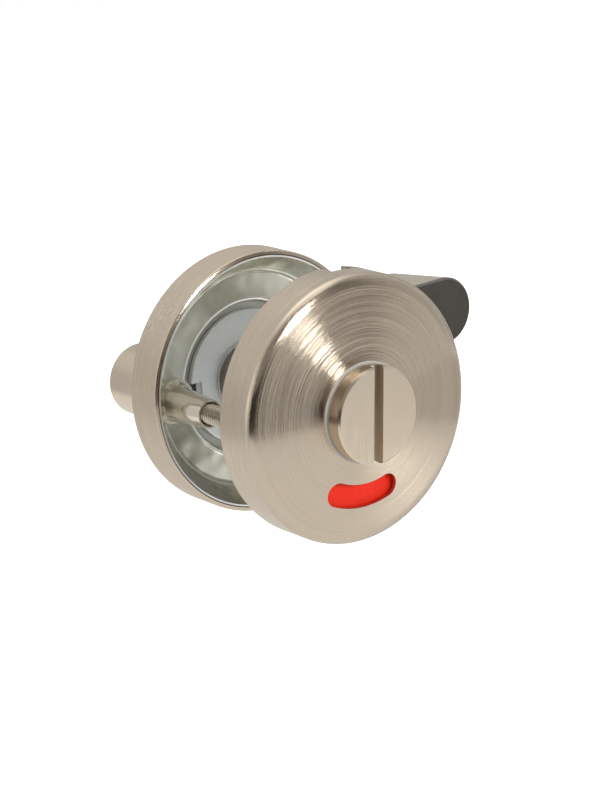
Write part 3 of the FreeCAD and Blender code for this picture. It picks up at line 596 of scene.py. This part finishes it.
rimProfiles = rimSections(rimFillSettings)
fillParts = [rimFill("rimPart", rimFillSettings, [centre + end for end in rimFillSettings[arc]], profile, coverSteel)
             for centre in rimFillSettings["centres"] for arc, profile in rimProfiles.items()]
rimFills = joinMeshes("rimFills", fillParts, coverSteel)
rimFills.data.shade_flat()
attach(rimFills, "roses")
print("rim fills:", len(rimFills.data.polygons), "faces")


# Studio

studioSettings = {"floorLevel": -0.075, "floorSize": 3.0, "floorColour": (0.82, 0.82, 0.82), "floorGlow": 0.75,
                  "skyLight": 0.60, "lampAim": (0.0, 0.015, 0.0), "cardGrid": (25, 17)}
cards = {
    # bearing from the outer face towards the right, and height, in degrees; distance; then how bright
    "roomCard": {"bearing": (-18.0, 47.0), "height": (-4.0, 62.0), "reach": 1.0, "tone": 0.23,
                 "tint": (1.0, 0.95, 0.90)},
    "doorCard": {"bearing": (47.0, 88.0), "height": (-4.0, 62.0), "reach": 1.0, "tone": 0.58},
    "cameraCard": {"bearing": (-84.0, -18.0), "height": (5.0, 66.0), "reach": 1.0, "tone": 0.34,
                   "tint": (1.0, 0.95, 0.90)},
    "tableCard": {"bearing": (-74.0, 15.0), "height": (-17.0, 8.0), "reach": 0.25, "tone": 0.05,
                  "tint": (1.0, 0.83, 0.72)},
    "rightCard": {"bearing": (16.0, 43.0), "height": (-18.0, -4.0), "reach": 0.22, "tone": 0.86},
    "farCard": {"bearing": (43.0, 90.0), "height": (-18.0, -4.0), "reach": 0.22, "tone": 0.58,
                "tint": (1.0, 0.96, 0.90)},
    "sideCard": {"bearing": (-178.0, -88.0), "height": (-20.0, 14.0), "reach": 0.21, "tone": 0.62},
    "upperCard": {"bearing": (-178.0, -84.0), "height": (14.0, 62.0), "reach": 0.6, "tone": 0.76},
    "backCard": {"bearing": (95.0, 178.0), "height": (-4.0, 50.0), "reach": 1.0, "tone": 0.60},
}
lamps = {
    "frontBox": {"place": (0.14, -0.78, 0.28), "size": (0.17, 0.17), "power": 2.7},
    "leftBox": {"place": (-0.70, 0.015, 0.12), "size": (0.35, 0.5), "power": 2.0},
    "kickBox": {"place": (0.099, -0.096, -0.0585), "size": (0.028, 0.028), "power": 0.0034},
    "topBox": {"place": (-0.10, 0.05, 0.85), "size": (1.0, 0.9), "power": 3.2},
}


def seenDirectly(cameraRay):
    # one for rays from the camera and for reflected or refracted ones, else nought
    return cameraRay.larger(cameraRay.other("Is Glossy Ray")).larger(cameraRay.other("Is Transmission Ray"))


def stageObject(name, points, faces, material):
    # a thing of the studio, which is no part of the lock
    mesh = bpy.data.meshes.new(name)
    mesh.from_pydata(points, [], faces)
    mesh.materials.append(material)
    item = bpy.data.objects.new(name, mesh)
    scene.collection.objects.link(item)
    return item


def floorWhite(settings):
    # lit white for the light it gives; white to the camera and in reflections, with the shadow kept
    shade = Shade("floorWhite", Roughness=0.9, Base_Color=colour(*settings["floorColour"]), Specular_IOR_Level=0.0)
    cameraRay = shade.add("ShaderNodeLightPath", out="Is Camera Ray")
    lit = Wire(shade, shade.surface.outputs[0])
    glow = shade.add("ShaderNodeEmission", inputs={"Strength": settings["floorGlow"]})
    lifted = shade.add("ShaderNodeAddShader", inputs=[lit, glow])
    plain = shade.add("ShaderNodeEmission", inputs={"Strength": 1.0})
    shown = shade.add("ShaderNodeMixShader", inputs=[cameraRay, plain, lifted])
    shade.show(shade.add("ShaderNodeMixShader", inputs=[seenDirectly(cameraRay), lit, shown]))
    return shade.material


def cardPatch(name, settings, grid):
    # part of a sphere round the object, between two bearings and two heights, that only reflections see
    shade = Shade(name)
    tint = colour(*settings.get("tint", (1.0, 1.0, 1.0)))
    shade.show(shade.add("ShaderNodeEmission", inputs={"Color": tint, "Strength": settings["tone"]}))
    spans = [np.radians(np.linspace(*settings[key], steps)) for key, steps in zip(("bearing", "height"), grid)]
    bearing, height = np.meshgrid(*spans, indexing="ij")
    level = np.cos(height)
    points = settings["reach"] * np.stack([np.sin(bearing) * level, -np.cos(bearing) * level, np.sin(height)], -1)
    index = np.arange(bearing.size).reshape(bearing.shape)
    faces = np.stack([index[:-1, :-1], index[1:, :-1], index[1:, 1:], index[:-1, 1:]], -1).reshape(-1, 4)
    card = stageObject(name, points.reshape(-1, 3).tolist(), faces.tolist(), shade.material)
    card.visible_camera = False
    card.visible_diffuse = False
    card.visible_shadow = False


def softbox(name, settings, aim):
    # rectangular lamp turned towards the middle of the object
    lamp = bpy.data.lights.new(name, "AREA")
    lamp.shape = "RECTANGLE"
    lamp.size, lamp.size_y = settings["size"]
    lamp.energy = settings["power"]
    box = bpy.data.objects.new(name, lamp)
    box.location = Vector(settings["place"])
    box.rotation_euler = (Vector(aim) - box.location).to_track_quat("-Z", "Y").to_euler()
    box.visible_camera = False
    scene.collection.objects.link(box)


square = np.array([(-1, -1, 0), (1, -1, 0), (1, 1, 0), (-1, 1, 0)]) * studioSettings["floorSize"] / 2
corners = square + [0, 0, studioSettings["floorLevel"]]
stageObject("floor", corners.tolist(), [(0, 1, 2, 3)], floorWhite(studioSettings))
for name, settings in cards.items():
    cardPatch(name, settings, studioSettings["cardGrid"])
for name, settings in lamps.items():
    softbox(name, settings, studioSettings["lampAim"])

# the world is white where it is seen directly, and dimmer as a light
world = bpy.data.worlds.new("studio")
scene.world = world
world.use_nodes = True
direct = seenDirectly(Sky(world).add("ShaderNodeLightPath", out="Is Camera Ray"))
strength = direct * (1.0 - studioSettings["skyLight"]) + studioSettings["skyLight"]
background = world.node_tree.nodes["Background"]
background.inputs["Color"].default_value = colour(1.0, 1.0, 1.0)
world.node_tree.links.new(strength.socket, background.inputs["Strength"])
print("studio ready:", len(cards), "cards,", len(lamps), "lamps")


# Camera

cameraSettings = {"azimuth": -37.60, "elevation": 13.58, "distance": 495.7, "right": -11.29, "up": 1.93, "ahead": 8.9,
                  "focal": 2600.0, "frameHigh": 800.0, "sensor": 36.0, "near": 0.01}
azimuth = math.radians(cameraSettings["azimuth"])
elevation = math.radians(cameraSettings["elevation"])
level = math.cos(elevation)
backward = Vector((math.sin(azimuth) * level, -math.cos(azimuth) * level, math.sin(elevation)))
rightward = Vector((math.cos(azimuth), math.sin(azimuth), 0))
upward = backward.cross(rightward)
stand = (backward * cameraSettings["distance"] + rightward * cameraSettings["right"] + upward * cameraSettings["up"]
         - Vector((0, cameraSettings["ahead"], 0))) * mm
lens = bpy.data.cameras.new("camera")
lens.sensor_width = cameraSettings["sensor"]
lens.lens = cameraSettings["focal"] / cameraSettings["frameHigh"] * cameraSettings["sensor"]
lens.clip_start = cameraSettings["near"]
camera = bpy.data.objects.new("camera", lens)
camera.matrix_world = Matrix.Translation(stand) @ Matrix((rightward, upward, backward)).transposed().to_4x4()
scene.collection.objects.link(camera)
scene.camera = camera
print("camera set")
